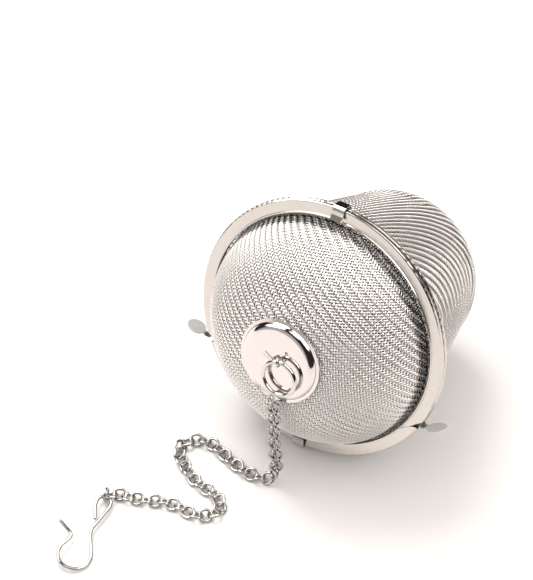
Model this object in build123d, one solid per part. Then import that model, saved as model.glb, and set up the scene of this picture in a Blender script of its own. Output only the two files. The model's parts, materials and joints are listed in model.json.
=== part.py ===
from build123d import *
import os
from math import acos, atan2, cos, degrees, hypot, pi, radians, sin, sqrt, tan

# Mesh tea infuser: a drawn mesh basket with a crimped rim, a domed mesh lid that turns under two
# latch clips, a pressed cap with a swivelling eye, and a jump ring, chain and hook.
# It lies on its side, on its lower clip and on the basket's rounded foot. Millimetres, +Z up.
#
# The infuser is drawn in its own frame first: w runs along its axis, w = 0 is the lid ring's front
# face and w grows towards the cap. Local x is the row's X, and local y points up the ring's face.

# ---- driving dimensions -------------------------------------------------------------------------
RING_R = 39.0            # lid ring, outer radius
RING_BORE_R = 35.2       # lid ring, inner radius
SHEET = 0.45             # ring sheet
MESH = 0.8               # thickness of the woven mesh as a shell: two crossed wires
HEM = 0.35               # flattened mesh edge inside a crimped ring
LID_RING_DEPTH = 1.2
RING_GAP = 0.2           # the lid ring runs this far in front of the basket ring
RING_ROUND = 0.4         # rolled outer edges of both rings
BEAD_RISE = 0.22         # raised bead along the lid ring's bore
BASKET_RING_R = 39.1
BASKET_RING_DEPTH = 1.2
SEAM_R = 0.55            # bead of weld where the basket ring's ends meet
SEAM_BESIDE_CLIP = 4.3   # degrees from the upper clip

BASKET_TOP_R = 35.6      # basket mesh, outer radius behind its ring
BASKET_FOOT_R = 25.8     # the same, where the foot's rounding starts
BASKET_FOOT_ROUND = 12.0
BASKET_DEPTH = 56.4      # lid ring's front face to the basket's flat foot

DOME_FOOT_R = 34.6
DOME_KNEE = (33.4, 4.2)      # (radius, w) where the steep skirt meets the dome
DOME_SHOULDER = (12.0, 20.3)  # (radius, w) at the cap's edge
DOME_SAG = 3.2               # rise of the dome's arc over the chord between those two

CAP_BRIM_R = 12.5
CAP_WALL_R = 11.6
CAP_TOP_W = 22.6
CAP_SHEET = 0.5
CAP_SHOULDER_ROUND = 2.0
BACKING_R = 6.5

CLIP_WIDTH = 3.5
CLIP_TURN = 1.3          # both clips stand this far round from straight up and down, degrees
CLIP_SHEET = 0.5
CLIP_INNER_R = 39.45
CLIP_FINGER_W = 0.55     # underside of the finger, above the lid ring's face
CLIP_FINGER_TIP_R = 36.0
CLIP_TIP = (1.4, 0.75)   # the finger's tip flares up over this length and height
CLIP_ROOT_R = 36.8
CLIP_BEND_R = 1.5        # outside of the bend over the lid ring
CLIP_BACK_ROUND = 0.42   # outside of the bend behind the basket ring

LID_TURN = 3.1           # how far the lid is turned from dead centre, degrees
EAR_HALF_ANGLE = 65.6    # each thumb tab from the lid's lowest point, degrees
TAB_SHEET = 0.5
TAB_PAD_R = 2.95
TAB_PAD_FROM_AXIS = 43.1
TAB_BEND_R = 40.1
TAB_ROOT = [(36.7, 0.15), (37.9, 0.5), (39.3, 0.95), (TAB_BEND_R, 0.45)]  # (radius, half width)
TAB_NECK_WIDTH = 1.7
TAB_RISE = 41.0          # angle between a tab's root, which is radial, and its pad
TAB_EDGE_ROUND = 0.12

EYE_WIRE = 0.6
EYE_LOOP_R = 1.15
EYE_STEM_R = 0.45
EYE_HOLE_R = 0.53
EYE_AT = (1.4, 1.8)      # the loop leans this far off the axis, local x and y
EYE_W = 24.3
EYE_TAIL_END = (-4.3, 1.75)  # free end of the thin wire wound round the stem, local x and y
EYE_TAIL_WIRE = 0.4
LEG_LENGTH = 7.5         # the two legs together, bent out below the backing disc
LEG_ANGLE = 25
JUMP_RING_WIRE = 1.2
JUMP_RING_R = 5.0
JUMP_RING_HANG = 11.5    # the ring hangs this far from straight down the cap, degrees

CHAIN_WIDTH = 3.2
END_RING_R = 1.9
END_RING_WIRE = 0.7
HOOK_WIRE = 1.0

# ---- lying on its side --------------------------------------------------------------------------
# The rounded rear edge of the lower clip and the foot's rounding both touch the floor, which sets
# the tilt.
clip_r = CLIP_INNER_R + CLIP_SHEET
lid_back_w = -LID_RING_DEPTH
basket_front_w = lid_back_w - RING_GAP
basket_back_w = basket_front_w - BASKET_RING_DEPTH
clip_back_w = basket_back_w - CLIP_SHEET
foot_centre_r = BASKET_FOOT_R - BASKET_FOOT_ROUND
foot_centre_depth = BASKET_DEPTH - BASKET_FOOT_ROUND
clip_round_r = clip_r - CLIP_BACK_ROUND
clip_round_w = clip_back_w + CLIP_BACK_ROUND
rise = clip_round_r - foot_centre_r
run = foot_centre_depth + clip_round_w
TILT = degrees(acos((BASKET_FOOT_ROUND - CLIP_BACK_ROUND) / hypot(rise, run)) - atan2(run, rise))
axis_height = clip_round_r * cos(radians(TILT)) - clip_round_w * sin(radians(TILT)) + CLIP_BACK_ROUND


def turned(points):
    """Solid of revolution about the infuser's axis, from (radius, w) corners."""
    section = make_face(Plane.XZ * Polyline(*points, close=True))
    return revolve(section, Axis.Z)


def disc(radius, low, high):
    return Pos(0, 0, (low + high) / 2) * Cylinder(radius, high - low)


def band(inner, outer, low, high):
    return disc(outer, low, high) - disc(inner, low - 1, high + 1)


def wire(path, diameter):
    """Round wire along a path."""
    start = Plane(origin=path @ 0, z_dir=path % 0)
    return sweep(start * Circle(diameter / 2), path=path)


def ring_point(radius, angle, w=0.0):
    """Local point at an angle from the ring's lowest point, positive towards +X."""
    return Vector(radius * sin(radians(angle)), -radius * cos(radians(angle)), w)


# ---- basket -------------------------------------------------------------------------------------
def basket_profile(inset):
    """Wall, foot rounding and foot of the basket, as a path of (radius, w) from the top down."""
    top = (BASKET_TOP_R - inset, 0, basket_front_w - SHEET)
    side = (BASKET_FOOT_R - inset, 0, -foot_centre_depth)
    centre = Vector(foot_centre_r, 0, -foot_centre_depth)
    radius = BASKET_FOOT_ROUND - inset
    middle = centre + Vector(radius * cos(pi / 4), 0, -radius * sin(pi / 4))
    foot = centre + Vector(0, 0, -radius)
    wall = Line(top, side)
    rounding = ThreePointArc(side, middle, foot)
    floor = Line(foot, (0, 0, foot.Z))
    return [wall, rounding, floor]


def shell(outer, inner):
    """Shell of revolution between two paths that start at a rim and end on the axis."""
    rim = Line(outer[0] @ 0, inner[0] @ 0)
    axis = Line(outer[-1] @ 1, inner[-1] @ 1)
    return revolve(make_face([*outer, axis, *inner, rim]), Axis.Z)


def basket_mesh():
    hem_r = BASKET_RING_R - SHEET - 0.1
    hem_top = basket_front_w - SHEET
    hem = band(BASKET_TOP_R - MESH, hem_r, hem_top - HEM, hem_top)
    return shell(basket_profile(0), basket_profile(MESH)) + hem


def crimped_ring(outer_r, front_bore, back_bore, front_w, depth):
    """Ring of folded sheet, open inwards, that grips the mesh's hem."""
    slot_front = front_w - SHEET
    slot_back = slot_front - HEM
    back_w = front_w - depth
    section = make_face(Plane.XZ * Polyline(
        (front_bore, front_w), (outer_r, front_w), (outer_r, back_w), (back_bore, back_w),
        (back_bore, slot_back), (outer_r - SHEET, slot_back), (outer_r - SHEET, slot_front),
        (front_bore, slot_front), close=True))
    ring = revolve(section, Axis.Z)
    rim = ring.edges().filter_by(GeomType.CIRCLE).filter_by(lambda e: abs(e.radius - outer_r) < 0.01)
    return fillet(rim, RING_ROUND)


def basket_ring():
    ring = crimped_ring(BASKET_RING_R, BASKET_TOP_R - 0.2, BASKET_TOP_R + 0.6, basket_front_w,
                        BASKET_RING_DEPTH)
    seam_at = ring_point(BASKET_RING_R, 180 + CLIP_TURN - SEAM_BESIDE_CLIP, basket_front_w - 0.75)
    return ring + Pos(*seam_at) * Sphere(SEAM_R)


def latch_clip(angle):
    """Bent strap, welded behind the basket ring and hooked over the lid ring."""
    finger_top = CLIP_FINGER_W + CLIP_SHEET
    flare_length, flare = CLIP_TIP
    knee_r = CLIP_FINGER_TIP_R + flare_length
    section = make_face(Plane.XZ * Polyline(
        (CLIP_ROOT_R, clip_back_w), (clip_r, clip_back_w), (clip_r, finger_top),
        (knee_r, finger_top), (CLIP_FINGER_TIP_R, finger_top + flare),
        (CLIP_FINGER_TIP_R, finger_top + flare - CLIP_SHEET), (knee_r, CLIP_FINGER_W),
        (CLIP_INNER_R, CLIP_FINGER_W), (CLIP_INNER_R, basket_back_w), (CLIP_ROOT_R, basket_back_w),
        close=True))
    strap = extrude(section, CLIP_WIDTH / 2, both=True)

    def corner(radius, w):
        return strap.edges().filter_by(Axis.Y).sort_by_distance((radius, 0, w))[0]
    strap = fillet(corner(clip_r, finger_top), CLIP_BEND_R)
    strap = fillet(corner(CLIP_INNER_R, CLIP_FINGER_W), CLIP_BEND_R - CLIP_SHEET)
    strap = fillet(corner(clip_r, clip_back_w), CLIP_BACK_ROUND)
    return Rot(0, 0, angle - 90) * strap


# ---- lid ----------------------------------------------------------------------------------------
def dome_arc(inset):
    """Skirt, dome and crown of the lid mesh, as a path of (radius, w) from the rim up."""
    knee = Vector(DOME_KNEE[0], 0, DOME_KNEE[1])
    shoulder = Vector(DOME_SHOULDER[0], 0, DOME_SHOULDER[1])
    chord = shoulder - knee
    half = chord.length / 2
    radius = (half * half + DOME_SAG * DOME_SAG) / (2 * DOME_SAG)
    outward = Vector(chord.Z, 0, -chord.X).normalized()
    centre = (knee + shoulder) * 0.5 - outward * (radius - DOME_SAG)
    small = radius - inset
    start = centre + (knee - centre).normalized() * small
    crown = centre + Vector(0, 0, small)
    sweep_start = atan2(start.Z - centre.Z, start.X - centre.X)
    middle_angle = (sweep_start + pi / 2) / 2
    middle = centre + Vector(cos(middle_angle), 0, sin(middle_angle)) * small
    rim = Vector(DOME_FOOT_R - inset, 0, -SHEET)
    heel = Vector(DOME_FOOT_R - inset, 0, 0.2)
    return [Line(rim, heel), Line(heel, start), ThreePointArc(start, middle, crown),
            Line(crown, (0, 0, crown.Z))]


def tab_angle(side):
    """Angle of a thumb tab from the ring's lowest point: side is +1 for the right, -1 for the left."""
    return LID_TURN + side * EAR_HALF_ANGLE


def lid_mesh():
    hem = band(DOME_FOOT_R - MESH, RING_R - SHEET - 0.1, -SHEET - HEM, -SHEET)
    mesh = shell(dome_arc(0), dome_arc(MESH)) + hem
    for side in (1, -1):
        mesh -= ear_slit(side, -SHEET - HEM - 0.1, 0.1 - SHEET)
        mesh -= tab_root(side)
    return mesh - disc(0.8, DOME_SHOULDER[1] - 3, CAP_TOP_W)


def ear_slit(side, low, high):
    """Cut beside a thumb tab: a curved slit from the bore that flares into a notch at the rim."""
    course = [(RING_BORE_R - 0.4, 10.8, 0.12), (36.2, 7.0, 0.14), (37.1, 4.3, 0.2), (37.9, 2.2, 0.8),
              (RING_R + 0.5, 0.6, 1.75)]
    left, right = [], []
    for radius, lag, half in course:
        spread = degrees(half / radius)
        middle = tab_angle(side) - side * lag
        left.append(ring_point(radius, middle - spread))
        right.append(ring_point(radius, middle + spread))
    outline = Spline(left) + Line(left[-1], right[-1]) + Spline(right[::-1]) + Line(right[0], left[0])
    return Pos(0, 0, low) * extrude(make_face(outline), high - low)


def lid_ring():
    ring = crimped_ring(RING_R, RING_BORE_R, RING_BORE_R + 1.2, 0, LID_RING_DEPTH)
    ring += turned([(RING_BORE_R, -0.05), (RING_BORE_R + 0.55, -0.05),
                    (RING_BORE_R + 0.4, BEAD_RISE), (RING_BORE_R + 0.1, BEAD_RISE)])
    for side in (1, -1):
        ring -= ear_slit(side, -SHEET, 1.0)
        # the notch goes right through at the rim
        ring -= ear_slit(side, -LID_RING_DEPTH - 0.1, 1.0) - disc(RING_R - 2.0, -2, 2)
        ring -= tab_root(side)
    return ring


def tab_root(side):
    """Root of a thumb tab: a wedge set into the ring's notch, pointing at the lid's axis."""
    left = [ring_point(r, tab_angle(side) - degrees(half / r)) for r, half in TAB_ROOT]
    right = [ring_point(r, tab_angle(side) + degrees(half / r)) for r, half in TAB_ROOT]
    wedge = make_face(Polyline(*left, *right[::-1], close=True))
    return Pos(0, 0, -LID_RING_DEPTH + 0.1) * extrude(wedge, LID_RING_DEPTH - 0.3)


def thumb_tab(side):
    """Thumb tab: the root, a short neck, and a round pad bent up from it."""
    bend = ring_point(TAB_BEND_R - 0.25, tab_angle(side), -LID_RING_DEPTH / 2)
    heading = tab_angle(side) - 90 + side * TAB_RISE
    reach = TAB_PAD_FROM_AXIS - TAB_BEND_R + 1.0
    # drawn flat in local x (along the tab) and w, then stood on edge and aimed
    pad = Pos(reach, 0, 0) * Cylinder(TAB_PAD_R, TAB_SHEET)
    neck = Pos(reach / 2 - 0.1, 0, 0) * Box(reach, TAB_NECK_WIDTH, TAB_SHEET)
    leaf = fillet((pad + neck).edges().group_by(Axis.Z)[-1], TAB_EDGE_ROUND)
    leaf = fillet(leaf.edges().group_by(Axis.Z)[0], TAB_EDGE_ROUND)
    collar = ring_point(TAB_BEND_R - 0.4, tab_angle(side), -LID_RING_DEPTH / 2)
    knuckle = Pos(*collar) * Rot(0, 0, tab_angle(side) - 90) * Box(0.9, TAB_SHEET, TAB_NECK_WIDTH)
    return tab_root(side) + knuckle + Pos(*bend) * Rot(0, 0, heading) * Rot(90, 0, 0) * leaf


def cap():
    """Pressed cap: flat top, rounded shoulder, short wall and a brim that sits on the dome."""
    brim_w = DOME_SHOULDER[1] + 0.15
    outer = [Line((CAP_BRIM_R, 0, brim_w), (CAP_BRIM_R, 0, brim_w + CAP_SHEET)),
             Line((CAP_BRIM_R, 0, brim_w + CAP_SHEET), (CAP_WALL_R, 0, brim_w + CAP_SHEET + 0.15))]
    shoulder_w = CAP_TOP_W - CAP_SHOULDER_ROUND
    corner = Vector(CAP_WALL_R - CAP_SHOULDER_ROUND, 0, shoulder_w)

    def shoulder(radius):
        return ThreePointArc(corner + Vector(radius, 0, 0),
                             corner + Vector(radius, 0, radius) * sqrt(0.5),
                             corner + Vector(0, 0, radius))
    outside = shoulder(CAP_SHOULDER_ROUND)
    inside = shoulder(CAP_SHOULDER_ROUND - CAP_SHEET)
    face = make_face([
        *outer, Line((CAP_WALL_R, 0, brim_w + CAP_SHEET + 0.15), outside @ 0), outside,
        Line(outside @ 1, (EYE_HOLE_R, 0, CAP_TOP_W)),
        Line((EYE_HOLE_R, 0, CAP_TOP_W), (EYE_HOLE_R, 0, CAP_TOP_W - CAP_SHEET)),
        Line((EYE_HOLE_R, 0, CAP_TOP_W - CAP_SHEET), inside @ 1), inside,
        Line(inside @ 0, (CAP_WALL_R - CAP_SHEET, 0, brim_w)),
        Line((CAP_WALL_R - CAP_SHEET, 0, brim_w), (CAP_BRIM_R, 0, brim_w))])
    return revolve(face, Axis.Z)


def crown_w(inset):
    """Height of the lid mesh's flat crown, outside (inset 0) or inside (inset MESH)."""
    return (dome_arc(inset)[-1] @ 1).Z


def cap_backing_disc():
    top = crown_w(MESH)
    return band(EYE_HOLE_R, BACKING_R, top - CAP_SHEET, top)


# ---- eye, jump ring, chain and hook --------------------------------------------------------------
hang = radians(JUMP_RING_HANG)
hang_way = Vector(sin(hang), -cos(hang), 0)     # from the eye to the jump ring's centre
swing_axis = Vector(cos(hang), sin(hang), 0)    # the jump ring's wire runs this way in the eye
eye_centre = Vector(*EYE_AT, EYE_W)


def eye_pin():
    """Swivelling eye: a leaning wire loop on a stem, held inside by two bent legs."""
    legs_w = crown_w(MESH) - CAP_SHEET - 0.45
    stem_top = CAP_TOP_W + 0.35
    stem = disc(EYE_STEM_R, legs_w, stem_top)
    loop_plane = Plane(origin=eye_centre, x_dir=hang_way, z_dir=swing_axis)
    loop = loop_plane * Torus(EYE_LOOP_R, EYE_WIRE / 2)
    foot = eye_centre + hang_way * (EYE_LOOP_R * 0.8) - Vector(0, 0, EYE_LOOP_R * 0.6)
    neck = wire(Line((0, 0, stem_top - 0.1), foot), EYE_WIRE)
    legs = Pos(0, 0, legs_w) * Rot(0, 90, LEG_ANGLE) * Cylinder(EYE_WIRE / 2, LEG_LENGTH)
    tail_line = Line((-0.2, 0.05, stem_top + 0.05), (*EYE_TAIL_END, stem_top + 0.25))
    tail = wire(tail_line, EYE_TAIL_WIRE)
    return stem + loop + neck + legs + tail


def jump_ring():
    return Pos(*(eye_centre + hang_way * JUMP_RING_R)) * Torus(JUMP_RING_R, JUMP_RING_WIRE / 2)


# Chain route: down from the jump ring, then in loose curves over the floor. Each entry is x, y, z,
# in millimetres, with x = y = 0 below the centre of the lid ring's front face and z = 0 at the floor.
CHAIN_ROUTE = [
    (1.8, -26.4, 37.0), (1.9, -26.2, 26.5), (1.7, -26.4, 16.0), (2.3, -25.8, 8.0), (1.7, -26.6, 2.8),
    (-2.8, -29.0, 1.7), (-8.2, -28.5, 1.7), (-14.3, -27.2, 1.7), (-19.3, -25.5, 1.7), (-23.9, -25.7, 1.7),
    (-27.4, -28.3, 1.7), (-28.0, -32.1, 1.7), (-25.1, -34.9, 1.7), (-21.0, -37.4, 1.7),
    (-17.5, -39.0, 1.7), (-12.9, -40.0, 1.7), (-8.9, -40.2, 1.7), (-5.8, -42.4, 1.7),
    (-5.5, -45.5, 1.7), (-7.6, -48.3, 1.7), (-11.0, -49.5, 1.7), (-15.3, -49.0, 1.7),
    (-20.6, -49.9, 1.7), (-24.2, -52.3, 1.7), (-28.3, -53.7, 1.7), (-33.2, -54.9, 1.7),
]


def chain_path():
    """Route as straight runs and arcs, each arc as large as its two runs allow."""
    points = [Vector(*p) for p in CHAIN_ROUTE]
    radii = []
    for before, at, after in zip(points, points[1:], points[2:]):
        turn = (at - before).get_angle(after - at)
        shorter = min((at - before).length, (after - at).length)
        radii.append(0.45 * shorter / tan(radians(turn) / 2))
    return FilletPolyline(*points, radius=radii), radii


def chain():
    path, radii = chain_path()
    tube = wire(path, CHAIN_WIDTH)
    section = pi * (CHAIN_WIDTH / 2) ** 2
    print(f"chain: {path.length:.1f} mm, radii {min(radii):.1f} to {max(radii):.1f} mm,"
          f" volume / (section x length) = {tube.volume / (section * path.length):.4f}")
    return tube


# The hook lies nearly flat, propped by the ring in its eye, with its open side a little higher.
# Its plane: origin beside the throat, local x across to the tip, local y along to the eye.
HOOK_AT = (-27.0, -75.5, 0.6)
HOOK_HEADING = 108.8     # direction of the shank in the floor, degrees from +X
HOOK_PITCH = 2.3         # the eye's end rises by this angle
HOOK_ROLL = 10.9         # the open side rises by this angle
HOOK_BEND = [            # (x, y, bend radius) of each corner of the wire; the ends have no radius
    (11.5, 7.5, 0), (6.8, 4.3, 1.5), (8.8, 0.2, 4.0), (9.6, -5.9, 4.3), (0.05, -5.9, 4.3),
    (-0.1, -0.5, 3.0), (2.7, 7.4, 5.0), (-0.15, 16.3, 2.5), (-0.05, 19.3, 1.9), (3.95, 19.3, 1.9),
    (3.95, 15.8, 2.5), (2.75, 11.6, 0),
]
HOOK_EYE_TOP = (2.0, 19.3)   # where the end ring bears, in the hook's plane
END_RING_OUT = 0.5           # from there to the end ring's centre


def shank_way():
    heading, pitch = radians(HOOK_HEADING), radians(HOOK_PITCH)
    return Vector(cos(heading) * cos(pitch), sin(heading) * cos(pitch), sin(pitch))


def hook_plane():
    along = shank_way()
    level = Vector(-sin(radians(HOOK_HEADING)), cos(radians(HOOK_HEADING)), 0)
    above = along.cross(level)
    across = level * cos(radians(HOOK_ROLL)) + above * sin(radians(HOOK_ROLL))
    return Plane(origin=HOOK_AT, x_dir=across, z_dir=across.cross(along))


def hook_eye_top():
    return hook_plane().from_local_coords((*HOOK_EYE_TOP, 0))


def chain_hook():
    corners = [(x, y) for x, y, _ in HOOK_BEND]
    radii = [bend for _, _, bend in HOOK_BEND[1:-1]]
    path = hook_plane() * FilletPolyline(*corners, radius=radii)
    body = wire(path, HOOK_WIRE)
    for end in (path @ 0, path @ 1):
        body += Pos(*end) * Sphere(HOOK_WIRE / 2 * 0.98)
    return body


def end_ring():
    """Small ring on edge that joins the chain's last link to the hook's eye."""
    along = Vector(cos(radians(HOOK_HEADING)), sin(radians(HOOK_HEADING)), 0)
    centre = hook_eye_top() + along * END_RING_OUT
    standing = Plane(origin=(centre.X, centre.Y, END_RING_R + END_RING_WIRE / 2), x_dir=along,
                     z_dir=along.cross(Vector(0, 0, 1)))
    return standing * Torus(END_RING_R, END_RING_WIRE / 2)


# ---- build --------------------------------------------------------------------------------------
def main():
    frame = Plane(origin=(0, 0, axis_height), x_dir=(1, 0, 0),
                  z_dir=(0, -cos(radians(TILT)), sin(radians(TILT))))
    infuser = {
        "basket_mesh": basket_mesh(),
        "basket_ring": basket_ring(),
        "latch_clip_bottom": latch_clip(CLIP_TURN),
        "latch_clip_top": latch_clip(180 + CLIP_TURN),
        "lid_mesh": lid_mesh(),
        "lid_ring": lid_ring(),
        "thumb_tab_right": thumb_tab(1),
        "thumb_tab_left": thumb_tab(-1),
        "cap": cap(),
        "cap_backing_disc": cap_backing_disc(),
        "eye_pin": eye_pin(),
        "jump_ring": jump_ring(),
    }
    standing = {name: frame.location * shape for name, shape in infuser.items()}
    lying = {"chain": chain(), "end_ring": end_ring(), "chain_hook": chain_hook()}

    # row origin: on the floor, under the middle of the infuser without its free chain
    box = Compound(list(standing.values())).bounding_box()
    shift = Pos(-box.center().X, -box.center().Y, -box.min.Z)
    os.makedirs("parts", exist_ok=True)
    for name, shape in {**standing, **lying}.items():
        export_step(shift * shape, f"parts/{name}.step")

    def in_row(point):
        return (shift * Vertex(*point)).center()

    def in_row_from_local(point):
        return in_row(frame.from_local_coords(point))

    eye_end = eye_centre + swing_axis
    print(f"tilt {TILT:.3f} deg, axis height {axis_height:.3f}, shift {shift.position}")
    print("lid axis", frame.z_dir, "through", in_row_from_local((0, 0, 0)))
    print("jump ring swings about", in_row_from_local(eye_end) - in_row_from_local(eye_centre),
          "through", in_row_from_local(eye_centre))
    print("foot face", in_row_from_local((0, 0, -BASKET_DEPTH)))
    print("hook swings about +Z through", in_row(hook_eye_top()))


main()
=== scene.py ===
import json
import math
import random

import bpy
import numpy as np
from mathutils import Matrix, Vector


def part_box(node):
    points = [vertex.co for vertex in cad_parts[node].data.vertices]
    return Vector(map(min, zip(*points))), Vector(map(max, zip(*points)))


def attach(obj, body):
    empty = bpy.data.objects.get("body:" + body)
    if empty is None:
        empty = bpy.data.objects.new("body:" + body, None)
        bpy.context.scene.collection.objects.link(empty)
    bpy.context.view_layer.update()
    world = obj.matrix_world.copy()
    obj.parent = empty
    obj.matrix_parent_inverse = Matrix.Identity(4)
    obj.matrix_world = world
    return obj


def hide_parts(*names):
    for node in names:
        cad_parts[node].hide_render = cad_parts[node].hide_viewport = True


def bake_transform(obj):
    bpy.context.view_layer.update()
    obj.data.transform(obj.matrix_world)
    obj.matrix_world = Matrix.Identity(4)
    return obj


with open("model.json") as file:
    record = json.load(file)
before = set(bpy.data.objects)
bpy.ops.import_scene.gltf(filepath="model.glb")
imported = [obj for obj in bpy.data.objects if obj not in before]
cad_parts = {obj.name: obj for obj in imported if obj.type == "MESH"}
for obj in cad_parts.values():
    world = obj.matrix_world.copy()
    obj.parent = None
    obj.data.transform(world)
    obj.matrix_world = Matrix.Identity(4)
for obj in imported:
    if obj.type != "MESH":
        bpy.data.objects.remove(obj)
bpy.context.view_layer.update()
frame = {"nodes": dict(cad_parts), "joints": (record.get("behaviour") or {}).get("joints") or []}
NODES = frame["nodes"]
JOINTS = {joint["name"]: joint for joint in frame["joints"]}
MM = 0.001
random.seed(7)

# ---- the infuser's own frame ---------------------------------------------------------------------
# w runs along the lid's axis towards the cap, w = 0 is the lid ring's front face.
AXIS = Vector(JOINTS["lid_turn"]["axis"]).normalized()
CENTRE = Vector(JOINTS["lid_turn"]["pos_m"])
ACROSS = Vector((1, 0, 0))
UPWARD = AXIS.cross(ACROSS)
LOCAL = np.array([ACROSS, UPWARD, AXIS]) * MM     # rows: local x, y, w in scene metres per millimetre

# ---- woven mesh, millimetres ---------------------------------------------------------------------
PITCH = 0.77             # wire spacing in the flat cloth, before it was drawn
WIRE_WIDTH = 0.46        # drawn wider than it is high
WIRE_HEIGHT = 0.32
CLOSEST = 0.86           # a wire is never wider than this share of its spacing
LID_HOLE_R = 0.9         # the eye's stem passes through the lid's cloth here
LID_CRIMP = 0.16         # how far a wire rises and falls from the cloth's middle
BASKET_CRIMP = 0.24
TWILL_STEEPNESS = 1.4    # over 1, a wire runs level while it is right over or under
SIDES = 6                # sides of a wire's section
STEPS = 4                # points per pitch along a wire
SHORTEST_STEP = 0.1      # share of a step below which two points are one
MESH = 0.8               # thickness of the cloth
LID_WEAVE_TURN = 12.0    # the weft runs this far from local x, degrees
BASKET_WEAVE_TURN = -23.0
GROUP_TRIANGLES = 150000     # a piece of the weave ends with the wire that takes it past this

DOME_FOOT_R = 34.6
DOME_FOOT_W = 0.2
DOME_KNEE = (33.4, 4.2)      # (radius, w) where the steep skirt meets the dome
DOME_SHOULDER = (12.0, 20.3)     # (radius, w) at the cap's edge
DOME_SAG = 3.2
LID_CLOTH_END_W = -0.6       # the lid's cloth ends here, inside its ring
CROWN_POINTS = 12
ARC_POINTS = 60

BASKET_TOP = (35.6, -1.85)   # (radius, w)
BASKET_FOOT_R = 25.8
BASKET_FOOT_ROUND = 12.0
BASKET_DEPTH = 56.4
FOOT_POINTS = 20
ROUNDING_POINTS = 50
WALL_POINTS = 60

# ---- chain, millimetres --------------------------------------------------------------------------
# the route starts at the jump ring's lowest point; x = y = 0 is below the centre of the lid ring
CHAIN_ROUTE = [
    (1.8, -26.4, 37.0), (1.9, -26.2, 26.5), (1.7, -26.4, 16.0), (2.3, -25.8, 8.0), (1.7, -26.6, 2.8),
    (-2.8, -29.0, 1.7), (-8.2, -28.5, 1.7), (-14.3, -27.2, 1.7), (-19.3, -25.5, 1.7), (-23.9, -25.7, 1.7),
    (-27.4, -28.3, 1.7), (-28.0, -32.1, 1.7), (-25.1, -34.9, 1.7), (-21.0, -37.4, 1.7),
    (-17.5, -39.0, 1.7), (-12.9, -40.0, 1.7), (-8.9, -40.2, 1.7), (-5.8, -42.4, 1.7),
    (-5.5, -45.5, 1.7), (-7.6, -48.3, 1.7), (-11.0, -49.5, 1.7), (-15.3, -49.0, 1.7),
    (-20.6, -49.9, 1.7), (-24.2, -52.3, 1.7), (-28.3, -53.7, 1.7), (-33.2, -54.9, 1.7),
]
CHAIN_WIDTH = 3.2        # the chain as a plain cord; a link whose middle is lower than this lies down
LINK_LENGTH = 4.4
LINK_WIDTH = 4.2
LINK_WIRE = 0.85
LINK_PITCH = 2.65
LINK_LEAN = 27.0         # neighbouring links lean this far to opposite sides, degrees
LINK_SWAY = 9.0          # a link leans or wanders this far more or less, degrees
LINK_RINGS = 28
LINK_SIDES = 10
ROUTE_RESOLUTION = 24    # points of the smooth line for each point of the route
FLOOR_GAP = 0.03         # a lying link's lowest point is this far above the floor


# ---- mesh helpers --------------------------------------------------------------------------------
def mesh_from_quads(name, vertices, quads):
    """Mesh object from arrays of points, in metres, and of quads."""
    mesh = bpy.data.meshes.new(name)
    mesh.vertices.add(len(vertices))
    mesh.vertices.foreach_set("co", np.asarray(vertices, np.float32).ravel())
    mesh.loops.add(quads.size)
    mesh.loops.foreach_set("vertex_index", quads.ravel().astype(np.int32))
    mesh.polygons.add(len(quads))
    mesh.polygons.foreach_set("loop_start", np.arange(0, quads.size, 4, dtype=np.int32))
    mesh.polygons.foreach_set("use_smooth", np.ones(len(quads), bool))
    mesh.update(calc_edges=True)
    mesh.validate()
    obj = bpy.data.objects.new(name, mesh)
    bpy.context.scene.collection.objects.link(obj)
    return obj


def tube_quads(rings, sides, closed):
    """Quads of a tube of so many rings; an open one gets flat ends (sides is 6 there)."""
    i = np.arange(rings if closed else rings - 1)[:, None]
    j = np.arange(sides)[None, :]
    a, b = i * sides, (i + 1) % rings * sides
    body = np.stack([a + j, a + (j + 1) % sides, b + (j + 1) % sides, b + j], -1).reshape(-1, 4)
    if closed:
        return body
    last = (rings - 1) * sides
    ends = [[3, 2, 1, 0], [5, 4, 3, 0], [last, last + 1, last + 2, last + 3],
            [last, last + 3, last + 4, last + 5]]
    return np.vstack([body, ends])


def unit(v):
    """Vectors of length 1, each along the one given."""
    return v / np.linalg.norm(v, axis=-1, keepdims=True)


# ---- woven mesh ----------------------------------------------------------------------------------
def dome_profile():
    """(radius, w) of the middle of the lid's cloth, from the pole out."""
    knee, shoulder = np.array(DOME_KNEE), np.array(DOME_SHOULDER)
    chord = shoulder - knee
    half = np.linalg.norm(chord) / 2
    radius = (half * half + DOME_SAG * DOME_SAG) / (2 * DOME_SAG)
    outward = unit(np.array([chord[1], -chord[0]]))
    centre = (knee + shoulder) / 2 - outward * (radius - DOME_SAG)
    small = radius - MESH / 2
    low = math.atan2(*(knee - centre)[::-1])
    angles = np.linspace(math.pi / 2, low, ARC_POINTS)
    arc = centre + small * np.stack([np.cos(angles), np.sin(angles)], -1)
    crown_r = np.linspace(0, centre[0], CROWN_POINTS, endpoint=False)
    crown = np.stack([crown_r, np.full(CROWN_POINTS, arc[0, 1])], -1)
    rim_r = DOME_FOOT_R - MESH / 2
    skirt = [(rim_r, DOME_FOOT_W), (rim_r, LID_CLOTH_END_W)]
    return np.vstack([crown, arc, skirt])


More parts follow.
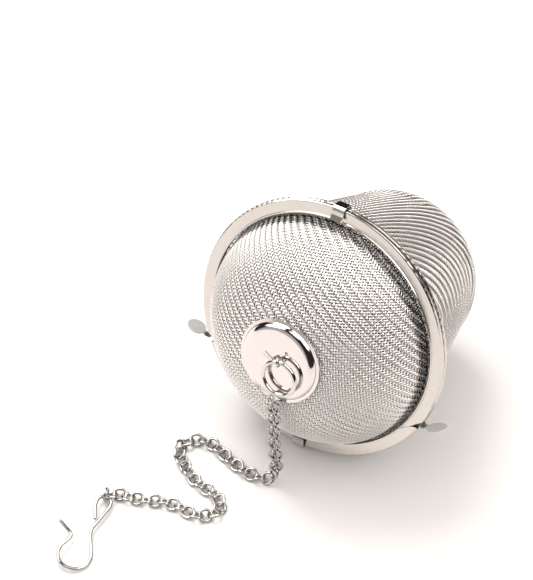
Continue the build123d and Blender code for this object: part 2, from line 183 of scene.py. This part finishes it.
def basket_profile():
    """(radius, w) of the middle of the basket's cloth, from the pole out."""
    foot_r = BASKET_FOOT_R - BASKET_FOOT_ROUND
    foot_w = -(BASKET_DEPTH - BASKET_FOOT_ROUND)
    small = BASKET_FOOT_ROUND - MESH / 2
    angles = np.linspace(-math.pi / 2, 0, ROUNDING_POINTS)
    rounding = np.stack([foot_r + small * np.cos(angles), foot_w + small * np.sin(angles)], -1)
    flat_r = np.linspace(0, foot_r, FOOT_POINTS, endpoint=False)
    foot = np.stack([flat_r, np.full(FOOT_POINTS, foot_w - small)], -1)
    wall = np.linspace(rounding[-1], (BASKET_TOP[0] - MESH / 2, BASKET_TOP[1]), WALL_POINTS)[1:]
    return np.vstack([foot, rounding, wall])


class DrawnCloth:
    """Flat cloth drawn over a profile so that each patch keeps its area."""

    def __init__(self, profile, outward, turn, crimp, hole=0.0):
        self.profile = profile
        self.turn = math.radians(turn)
        self.crimp = crimp
        self.hole = hole
        steps = np.linalg.norm(np.diff(profile, axis=0), axis=1)
        middles = (profile[1:, 0] + profile[:-1, 0]) / 2
        self.flat_r = np.sqrt(2 * np.concatenate([[0], np.cumsum(middles * steps)]))
        slope = unit(np.gradient(profile, axis=0))
        self.normal = outward * np.stack([-slope[:, 1], slope[:, 0]], -1)
        self.rim = self.flat_r[-1]

    def place(self, u, v, height=0.0):
        """Local points and outward normals over flat points u, v, raised by height."""
        rho, phi = np.hypot(u, v), np.arctan2(v, u) + self.turn
        r, w = (np.interp(rho, self.flat_r, self.profile[:, k]) for k in (0, 1))
        nr, nw = (np.interp(rho, self.flat_r, self.normal[:, k]) for k in (0, 1))
        c, s = np.cos(phi), np.sin(phi)
        normal = unit(np.stack([nr * c, nr * s, nw], -1))
        return np.stack([r * c, r * s, w], -1) + normal * np.reshape(height, (-1, 1)), normal


def twill_rise(u, v):
    """The weft goes over two wires, then under two, stepped by one: 1 is right over, -1 under."""
    return np.clip(TWILL_STEEPNESS * np.cos((u + v - 0.5) * math.pi / 2), -1, 1)


def wire_spans(cloth, index):
    """Start and end of each stretch of a wire, which stops at the rim and at the middle hole."""
    offset = index * PITCH
    reach = math.sqrt(cloth.rim ** 2 - offset ** 2)
    if abs(offset) >= cloth.hole:
        return [(-reach, reach)]
    inner = math.sqrt(cloth.hole ** 2 - offset ** 2)
    return [(-reach, -inner), (inner, reach)]


def wire_stations(start, end):
    """Distances along a wire, evenly stepped between its two ends."""
    step = PITCH / STEPS
    whole = np.arange(math.ceil(start / step), math.floor(end / step) + 1) * step
    along = np.concatenate([[start], whole, [end]])
    return along[np.concatenate([[True], np.diff(along) > SHORTEST_STEP * step])]


def woven_wire(cloth, index, span, family):
    """Points of one stretch of wire's rings, in scene metres, and how many rings there are."""
    along = wire_stations(*span)
    across = np.full(len(along), index * PITCH)
    if family == "weft":
        u, v, du, dv, sign = along, across, 0, PITCH / 2, 1
    else:
        u, v, du, dv, sign = across, along, PITCH / 2, 0, -1
    points, normal = cloth.place(u, v, sign * cloth.crimp * twill_rise(u / PITCH, v / PITCH))
    tangent = unit(np.gradient(points, axis=0))
    side = unit(np.cross(normal, tangent))
    top = np.cross(tangent, side)
    gap = cloth.place(u + du, v + dv)[0] - cloth.place(u - du, v - dv)[0]
    width = np.minimum(WIRE_WIDTH, CLOSEST * np.abs(np.sum(gap * side, axis=1)))
    turn = np.arange(SIDES) * 2 * math.pi / SIDES
    ring = (side[:, None] * (width[:, None] / 2 * np.cos(turn))[:, :, None]
            + top[:, None] * (np.sin(turn) * WIRE_HEIGHT / 2)[None, :, None])
    local = (points[:, None] + ring).reshape(-1, 3)
    return np.array(CENTRE) + local @ LOCAL, len(along)


def wire_groups(cloth, family):
    """Points and quads of one family's wires, in groups small enough to keep all their detail."""
    count = int((cloth.rim - PITCH / 2) / PITCH)
    points, quads, base, triangles = [], [], 0, 0
    indices = range(-count, count + 1)
    stretches = [(index, span) for index in indices for span in wire_spans(cloth, index)]
    for index, span in stretches:
        wire, rings = woven_wire(cloth, index, span, family)
        faces = tube_quads(rings, SIDES, False)
        points.append(wire)
        quads.append(faces + base)
        base += len(wire)
        triangles += 2 * len(faces)
        if triangles > GROUP_TRIANGLES:
            yield np.vstack(points), np.vstack(quads)
            points, quads, base, triangles = [], [], 0, 0
    if points:
        yield np.vstack(points), np.vstack(quads)


def weave(name, cloth, node, body, weft, warp):
    """One cloth in its place: pieces of weft wire and of warp wire, each in its own material."""
    for family, material in (("weft", weft), ("warp", warp)):
        for number, (points, quads) in enumerate(wire_groups(cloth, family)):
            piece = mesh_from_quads(f"{name}_{family}_{number + 1}", points, quads)
            piece.data.materials.append(material)
            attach(piece, body)
            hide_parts(node)


# ---- chain ---------------------------------------------------------------------------------------
def route_point(x, y, z):
    """A point of the route in scene metres; x and y start below the lid ring's centre."""
    return Vector((CENTRE.x + x * MM, CENTRE.y + y * MM, z * MM))


def chain_line():
    """Points along the route's smooth curve, a NURBS spline, in scene metres."""
    curve = bpy.data.curves.new("chain_route", "CURVE")
    curve.dimensions = "3D"
    curve.resolution_u = ROUTE_RESOLUTION
    spline = curve.splines.new("NURBS")
    spline.points.add(len(CHAIN_ROUTE) - 1)
    for point, place in zip(spline.points, CHAIN_ROUTE):
        point.co = (*route_point(*place), 1)
    spline.order_u = 3
    spline.use_endpoint_u = True
    holder = bpy.data.objects.new("chain_route", curve)
    bpy.context.scene.collection.objects.link(holder)
    bpy.context.view_layer.update()
    mesh = bpy.data.meshes.new_from_object(holder)
    line = np.array([v.co for v in mesh.vertices])
    bpy.data.objects.remove(holder)
    bpy.data.meshes.remove(mesh)
    bpy.data.curves.remove(curve)
    return line


def oval_link(centre, along, across):
    """Ring points of one oval link, in metres."""
    bend = np.linspace(0, 2 * math.pi, LINK_RINGS, endpoint=False)
    long_r, short_r = (LINK_LENGTH - LINK_WIRE) / 2 * MM, (LINK_WIDTH - LINK_WIRE) / 2 * MM
    middle = centre + np.outer(np.cos(bend) * long_r, along) + np.outer(np.sin(bend) * short_r, across)
    way = unit(np.outer(-np.sin(bend) * long_r, along) + np.outer(np.cos(bend) * short_r, across))
    flat = np.cross(along, across)
    outward = np.cross(way, flat)
    turn = np.linspace(0, 2 * math.pi, LINK_SIDES, endpoint=False)
    ring = (outward[:, None] * np.cos(turn)[None, :, None]
            + flat[None, None] * np.sin(turn)[None, :, None])
    return (middle[:, None] + ring * (LINK_WIRE / 2 * MM)).reshape(-1, 3)


def link_line(line):
    """The chain's line, led on so that its last link runs through the end ring."""
    low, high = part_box("end_ring")
    ring = (np.array(low) + np.array(high)) / 2
    ring[2] = line[-1][2]
    inside = (LINK_LENGTH / 2 - LINK_WIRE) * MM - LINK_PITCH / 2 * MM
    return np.vstack([line, ring - unit(ring - line[-1]) * inside])


def run_along(line):
    """Distance from the line's start to each of its points."""
    return np.concatenate([[0], np.cumsum(np.linalg.norm(np.diff(line, axis=0), axis=1))])


def chain_links(line):
    """Points and quads of links that lean left and right in turn along the line."""
    run = run_along(line)
    count = round(run[-1] / (LINK_PITCH * MM))
    spacing = run[-1] / count
    faces = tube_quads(LINK_RINGS, LINK_SIDES, True)
    away = np.array(AXIS)        # the hanging links face the way the lid faces
    level = np.array([0, 0, 1.0])
    points = []
    for number in range(count):
        at = (number + 0.5) * spacing
        centre, before, after = (np.array([np.interp(at + d, run, line[:, k]) for k in range(3)])
                                 for d in (0, -spacing / 2, spacing / 2))
        lying = centre[2] < CHAIN_WIDTH * MM
        along = unit(after - before)
        up = level if lying else away
        up = unit(up - along * (up @ along))
        side = np.cross(along, up)
        lean = LINK_LEAN if number % 2 else -LINK_LEAN
        lean = math.radians(lean + random.uniform(-LINK_SWAY, LINK_SWAY))
        wander = math.radians(random.uniform(-LINK_SWAY, LINK_SWAY))
        across = side * math.cos(lean) + up * math.sin(lean)
        along = unit(along * math.cos(wander) + side * math.sin(wander))
        across = unit(across - along * (across @ along))
        link = oval_link(centre, along, across)
        if lying:
            link[:, 2] += FLOOR_GAP * MM - link[:, 2].min()
        points.append(link)
    quads = [faces + number * len(points[0]) for number in range(count)]
    return np.vstack(points), np.vstack(quads)


def chain(material):
    """The chain in its place: one cord of links, from the jump ring into the end ring."""
    line = link_line(chain_line())
    piece = mesh_from_quads("chain_links", *chain_links(line))
    piece.data.materials.append(material)
    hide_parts("chain")
    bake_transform(piece)


# ---- materials -----------------------------------------------------------------------------------
# painted shades: each part is dark on one side of a place and light on the other, in millimetres
SKIRT_DARK_W = 2.3       # the lid's wire is dark below this and bright above the next
SKIRT_BRIGHT_W = 4.0
TAB_ROOT_R = 40.0        # a thumb tab is dark inside this radius and light outside the next
TAB_PAD_R = 40.7
WEFT_PAINTED_LIGHT = 1.25         # the basket's weft is lighter than its warp: painted light on the weft, painted shade on the warp
WARP_PAINTED_SHADE = 0.5
GRAIN_SHARE = 0.2        # how much fine grain is added to a painted shade
NOISE_RANGE = (0.3, 0.7)     # a noise texture's value stays mostly between these


class Nodes:
    """Short ways to add and link shader nodes."""

    def __init__(self, name):
        self.material = bpy.data.materials.new(name)
        self.material.use_nodes = True
        self.tree = self.material.node_tree
        self.shader = self.tree.nodes["Principled BSDF"]

    def add(self, kind, inputs=(), **settings):
        node = self.tree.nodes.new(kind)
        for key, value in settings.items():
            setattr(node, key, value)
        for socket, value in dict(inputs).items():
            if isinstance(value, bpy.types.NodeSocket):
                self.tree.links.new(value, node.inputs[socket])
            else:
                node.inputs[socket].default_value = value
        return node

    def math(self, operation, a, b=0.0):
        return self.add("ShaderNodeMath", {0: a, 1: b}, operation=operation).outputs[0]

    def dot(self, vector, axis):
        node = self.add("ShaderNodeVectorMath", {0: vector, 1: tuple(axis)}, operation="DOT_PRODUCT")
        return node.outputs["Value"]

    def noise(self, vector, scale, detail=3.0):
        inputs = {"Vector": vector, "Scale": scale, "Detail": detail}
        return self.add("ShaderNodeTexNoise", inputs).outputs["Fac"]

    def ramp(self, value, low, high, start, end):
        inputs = {"Value": value, "From Min": start, "From Max": end, "To Min": low, "To Max": high}
        return self.add("ShaderNodeMapRange", inputs).outputs["Result"]

    def object_place(self):
        return self.add("ShaderNodeTexCoord").outputs["Object"]

    def polar(self):
        """Vector of (angle round the lid's axis, radius, w), in radians and metres."""
        place = self.add("ShaderNodeVectorMath", {0: self.object_place(), 1: tuple(CENTRE)},
                         operation="SUBTRACT").outputs[0]
        x, y, w = self.dot(place, ACROSS), self.dot(place, UPWARD), self.dot(place, AXIS)
        angle = self.math("ARCTAN2", y, x)
        radius = self.math("POWER", self.math("ADD", self.math("MULTIPLY", x, x),
                                              self.math("MULTIPLY", y, y)), 0.5)
        return self.add("ShaderNodeCombineXYZ", {0: angle, 1: radius, 2: w}).outputs[0]

    def finish(self, value, dark, light, rough, bump, depth):
        """Steel whose colour, roughness and relief follow one pattern; depth is in metres."""
        colour = self.add("ShaderNodeMix", {"Factor": value, 6: (*dark, 1), 7: (*light, 1)},
                          data_type="RGBA").outputs[2]
        self.tree.links.new(colour, self.shader.inputs["Base Color"])
        roughness = self.ramp(value, *rough, *NOISE_RANGE)
        self.tree.links.new(roughness, self.shader.inputs["Roughness"])
        relief = self.add("ShaderNodeBump", {"Height": value, "Strength": bump, "Distance": depth})
        self.tree.links.new(relief.outputs[0], self.shader.inputs["Normal"])
        self.shader.inputs["Metallic"].default_value = 1.0
        return self.material


def stretched(nodes, vector, factors):
    """The vector with each of its parts scaled by its own factor."""
    return nodes.add("ShaderNodeVectorMath", {0: vector, 1: factors}, operation="MULTIPLY").outputs[0]


def lid_wire():
    """Bright wire with a painted dark band on the steep skirt, which stands in for what it reflects."""
    nodes = Nodes("lid_wire")
    grain = nodes.noise(nodes.object_place(), 900.0)
    w = nodes.add("ShaderNodeSeparateXYZ", {0: nodes.polar()}).outputs["Z"]
    reached = nodes.ramp(w, 0.0, 0.82, SKIRT_DARK_W * MM, SKIRT_BRIGHT_W * MM)
    value = nodes.math("ADD", nodes.math("MULTIPLY", grain, GRAIN_SHARE), reached)
    return nodes.finish(value, dark=(0.10, 0.095, 0.09), light=(0.92, 0.90, 0.87),
                        rough=(0.20, 0.32), bump=0.15, depth=0.00004)


def basket_wire(name, tone):
    """Basket wire. Weft and warp differ in tone only, as painted light on the weft and painted shade on
    the warp, so that the twill's bands show.
    """
    nodes = Nodes(name)
    value = nodes.noise(nodes.object_place(), 900.0)
    dark = [tone * c for c in (0.54, 0.52, 0.50)]
    light = [tone * c for c in (0.74, 0.72, 0.69)]
    return nodes.finish(value, dark, light, rough=(0.16, 0.28), bump=0.15, depth=0.00004)


def rolled_steel():
    """Ring sheet: fine marks across the band, and faint streaks along it."""
    nodes = Nodes("rolled_steel")
    polar = nodes.polar()
    across = nodes.noise(stretched(nodes, polar, (70.0, 300.0, 100.0)), 1.0, 4.0)
    along = nodes.noise(stretched(nodes, polar, (4.0, 9000.0, 3000.0)), 1.0, 3.0)
    value = nodes.math("ADD", nodes.math("MULTIPLY", across, 0.65), nodes.math("MULTIPLY", along, 0.35))
    return nodes.finish(value, dark=(0.48, 0.45, 0.42), light=(0.72, 0.68, 0.645),
                        rough=(0.10, 0.22), bump=0.35, depth=0.00003)


def stamped_steel():
    """Clips: bright sheet with a faint uneven grain."""
    nodes = Nodes("stamped_steel")
    value = nodes.noise(stretched(nodes, nodes.object_place(), (1.0, 0.5, 2.5)), 500.0)
    return nodes.finish(value, dark=(0.46, 0.44, 0.42), light=(0.66, 0.63, 0.60),
                        rough=(0.06, 0.14), bump=0.15, depth=0.00003)


def satin_steel():
    """Thumb tabs: satin sheet, painted dark at the root to stand in for the notch's shade."""
    nodes = Nodes("satin_steel")
    grain = nodes.noise(nodes.object_place(), 700.0)
    radius = nodes.add("ShaderNodeSeparateXYZ", {0: nodes.polar()}).outputs["Y"]
    pad = nodes.ramp(radius, 0.0, 0.8, TAB_ROOT_R * MM, TAB_PAD_R * MM)
    value = nodes.math("ADD", nodes.math("MULTIPLY", grain, GRAIN_SHARE), pad)
    nodes.finish(value, dark=(0.04, 0.04, 0.04), light=(0.70, 0.69, 0.68),
                 rough=(0.35, 0.45), bump=0.1, depth=0.00002)
    nodes.shader.inputs["Metallic"].default_value = 0.45
    return nodes.material


def polished_sheet():
    """Cap: bright sheet whose fine lines run in circles round the lid's axis."""
    nodes = Nodes("polished_sheet")
    polar = nodes.polar()
    rings = nodes.noise(stretched(nodes, polar, (1.5, 6000.0, 2000.0)), 1.0, 2.0)
    return nodes.finish(rings, dark=(0.68, 0.635, 0.62), light=(0.74, 0.69, 0.675),
                        rough=(0.05, 0.11), bump=0.05, depth=0.00001)


def drawn_wire(name, tone):
    """Smooth bright wire; a lower tone is darker."""
    nodes = Nodes(name)
    value = nodes.noise(nodes.object_place(), 1500.0)
    dark = [tone * c for c in (0.86, 0.84, 0.82)]
    light = [tone * c for c in (1.05, 1.02, 0.99)]
    return nodes.finish(value, dark, light, rough=(0.07, 0.17), bump=0.12, depth=0.00002)


def floor_surface():
    """Matt off-white floor, slightly uneven in tone."""
    nodes = Nodes("floor_surface")
    value = nodes.noise(nodes.object_place(), 60.0)
    colour = nodes.add("ShaderNodeMix", {"Factor": value, 6: (0.90, 0.88, 0.86, 1),
                                         7: (0.93, 0.91, 0.895, 1)}, data_type="RGBA").outputs[2]
    nodes.tree.links.new(colour, nodes.shader.inputs["Base Color"])
    nodes.shader.inputs["Roughness"].default_value = 0.6
    nodes.shader.inputs["Specular IOR Level"].default_value = 0.2
    return nodes.material


def dress(material, *names):
    """Gives the named CAD pieces their material and their shading."""
    for name in names:
        node = NODES[name]
        node.data.materials.clear()
        node.data.materials.append(material)
        smooth_by_angle(node)


def smooth_by_angle(node, limit=35.0):
    """Keeps sheet edges crisp and everything else smooth, as shading only."""
    node.data.shade_smooth()
    node.data.set_sharp_from_angle(angle=math.radians(limit))


# ---- studio --------------------------------------------------------------------------------------
TARGET = CENTRE
VIEW_AZIMUTH = 32.3
VIEW_ELEVATION = 48.0
VIEW_DISTANCE = 0.52
LENS = 115.1
SHIFT = (-0.0900, 0.0702)
KEY_POWER = 5.0
FILL = 0.76              # even light on matt surfaces
ROOM_SHADE = 0.03        # what steel reflects where no softbox is
ROOM_COLOUR = (1.0, 0.96, 0.94)
KEY_COLOUR = (1.0, 0.98, 0.95)
SENSOR_WIDTH = 36.0      # millimetres
SIGHT = (0.01, 20)       # the camera sees between these distances, metres
FLOOR_REACH = 3          # half of the floor's side, metres
SOFTBOXES = [            # azimuth, elevation, radius, soft edge, all in degrees, and brightness
    (-72, 47, 17, 8, 4.5), (105, 52, 14, 8, 6.0), (150, 62, 13, 8, 3.0), (30, 78, 9, 8, 3.0),
    (-20, 8, 26, 14, 0.55),
]


def direction(azimuth, elevation):
    """Unit vector to a place in the room; azimuth 0 is in front of the lid."""
    a, e = math.radians(azimuth), math.radians(elevation)
    return Vector((math.sin(a) * math.cos(e), -math.cos(a) * math.cos(e), math.sin(e)))


def camera():
    """The view from in front, to the right and above."""
    data = bpy.data.cameras.new("camera")
    data.lens = LENS
    data.sensor_width = SENSOR_WIDTH
    data.shift_x, data.shift_y = SHIFT
    data.clip_start, data.clip_end = SIGHT
    obj = bpy.data.objects.new("camera", data)
    back = direction(VIEW_AZIMUTH, VIEW_ELEVATION)
    obj.location = TARGET + back * VIEW_DISTANCE
    obj.rotation_mode = "QUATERNION"
    obj.rotation_quaternion = (-back).to_track_quat("-Z", "Y")
    bpy.context.scene.collection.objects.link(obj)
    bpy.context.scene.camera = obj


def area_light(name, azimuth, elevation, distance, size, power, colour):
    """A square light that faces the infuser."""
    data = bpy.data.lights.new(name, "AREA")
    data.size = size
    data.energy = power
    data.color = colour
    obj = bpy.data.objects.new(name, data)
    back = direction(azimuth, elevation)
    obj.location = TARGET + back * distance
    obj.rotation_mode = "QUATERNION"
    obj.rotation_quaternion = back.to_track_quat("Z", "Y")
    bpy.context.scene.collection.objects.link(obj)


def studio():
    """Floor, world and key light."""
    mesh = bpy.data.meshes.new("floor")
    corners = [(x * FLOOR_REACH, y * FLOOR_REACH, 0) for x, y in ((-1, -1), (1, -1), (1, 1), (-1, 1))]
    mesh.from_pydata(corners, [], [(0, 1, 2, 3)])
    floor = bpy.data.objects.new("floor", mesh)
    bpy.context.scene.collection.objects.link(floor)
    mesh.materials.append(floor_surface())
    room()
    bpy.context.scene.view_settings.view_transform = "Standard"
    area_light("key", azimuth=-120, elevation=55, distance=0.8, size=0.45, power=KEY_POWER,
               colour=KEY_COLOUR)


def room():
    """World: even light for matt surfaces; a dark room with softboxes for what steel reflects."""
    world = bpy.data.worlds.new("studio")
    world.use_nodes = True
    tree = world.node_tree
    place = tree.nodes.new("ShaderNodeTexCoord").outputs["Generated"]

    def calculate(kind, operation, *inputs):
        node = tree.nodes.new(kind)
        node.operation = operation
        for socket, value in zip(node.inputs, inputs):
            if isinstance(value, bpy.types.NodeSocket):
                tree.links.new(value, socket)
            else:
                socket.default_value = value
        return node

    seen = ROOM_SHADE
    for azimuth, elevation, radius, soft, shade in SOFTBOXES:
        towards = direction(azimuth, elevation)
        near = calculate("ShaderNodeVectorMath", "DOT_PRODUCT", place, tuple(towards)).outputs["Value"]
        edge = tree.nodes.new("ShaderNodeMapRange")
        edge.interpolation_type = "SMOOTHSTEP"
        tree.links.new(near, edge.inputs["Value"])
        edge.inputs["From Min"].default_value = math.cos(math.radians(radius + soft))
        edge.inputs["From Max"].default_value = math.cos(math.radians(radius))
        edge.inputs["To Max"].default_value = shade
        seen = calculate("ShaderNodeMath", "ADD", seen, edge.outputs["Result"]).outputs[0]
    diffuse = tree.nodes.new("ShaderNodeLightPath").outputs["Is Diffuse Ray"]
    mixed = tree.nodes.new("ShaderNodeMix")
    for socket, value in (("Factor", diffuse), ("A", seen)):
        tree.links.new(value, mixed.inputs[socket])
    mixed.inputs["B"].default_value = FILL
    background = tree.nodes["Background"]
    background.inputs["Color"].default_value = (*ROOM_COLOUR, 1)
    tree.links.new(mixed.outputs["Result"], background.inputs["Strength"])
    bpy.context.scene.world = world


# ---- build ---------------------------------------------------------------------------------------
def main():
    """Weaves both cloths, dresses the CAD pieces, lays the chain and sets the studio."""
    lid_cloth = DrawnCloth(dome_profile(), 1, LID_WEAVE_TURN, LID_CRIMP, LID_HOLE_R)
    lid_steel = lid_wire()
    weave("lid_weave", lid_cloth, "lid_mesh", "lid", lid_steel, lid_steel)
    basket_cloth = DrawnCloth(basket_profile(), -1, BASKET_WEAVE_TURN, BASKET_CRIMP)
    # one steel twice: the weft with painted light, the warp with painted shade
    bright = basket_wire("basket_weft_wire_painted_light", WEFT_PAINTED_LIGHT)
    warp_with_painted_shade = basket_wire("basket_warp_wire_painted_shade", WARP_PAINTED_SHADE)
    weave("basket_weave", basket_cloth, "basket_mesh", "basket", bright, warp_with_painted_shade)
    dress(rolled_steel(), "lid_ring", "basket_ring")
    dress(stamped_steel(), "latch_clip_bottom", "latch_clip_top")
    dress(satin_steel(), "thumb_tab_left", "thumb_tab_right")
    dress(polished_sheet(), "cap", "cap_backing_disc")
    dress(drawn_wire("bright_wire", tone=0.66), "eye_pin", "jump_ring")
    dress(drawn_wire("hook_wire", tone=0.5), "end_ring", "chain_hook")
    chain(drawn_wire("chain_wire", tone=0.46))
    camera()
    studio()


main()
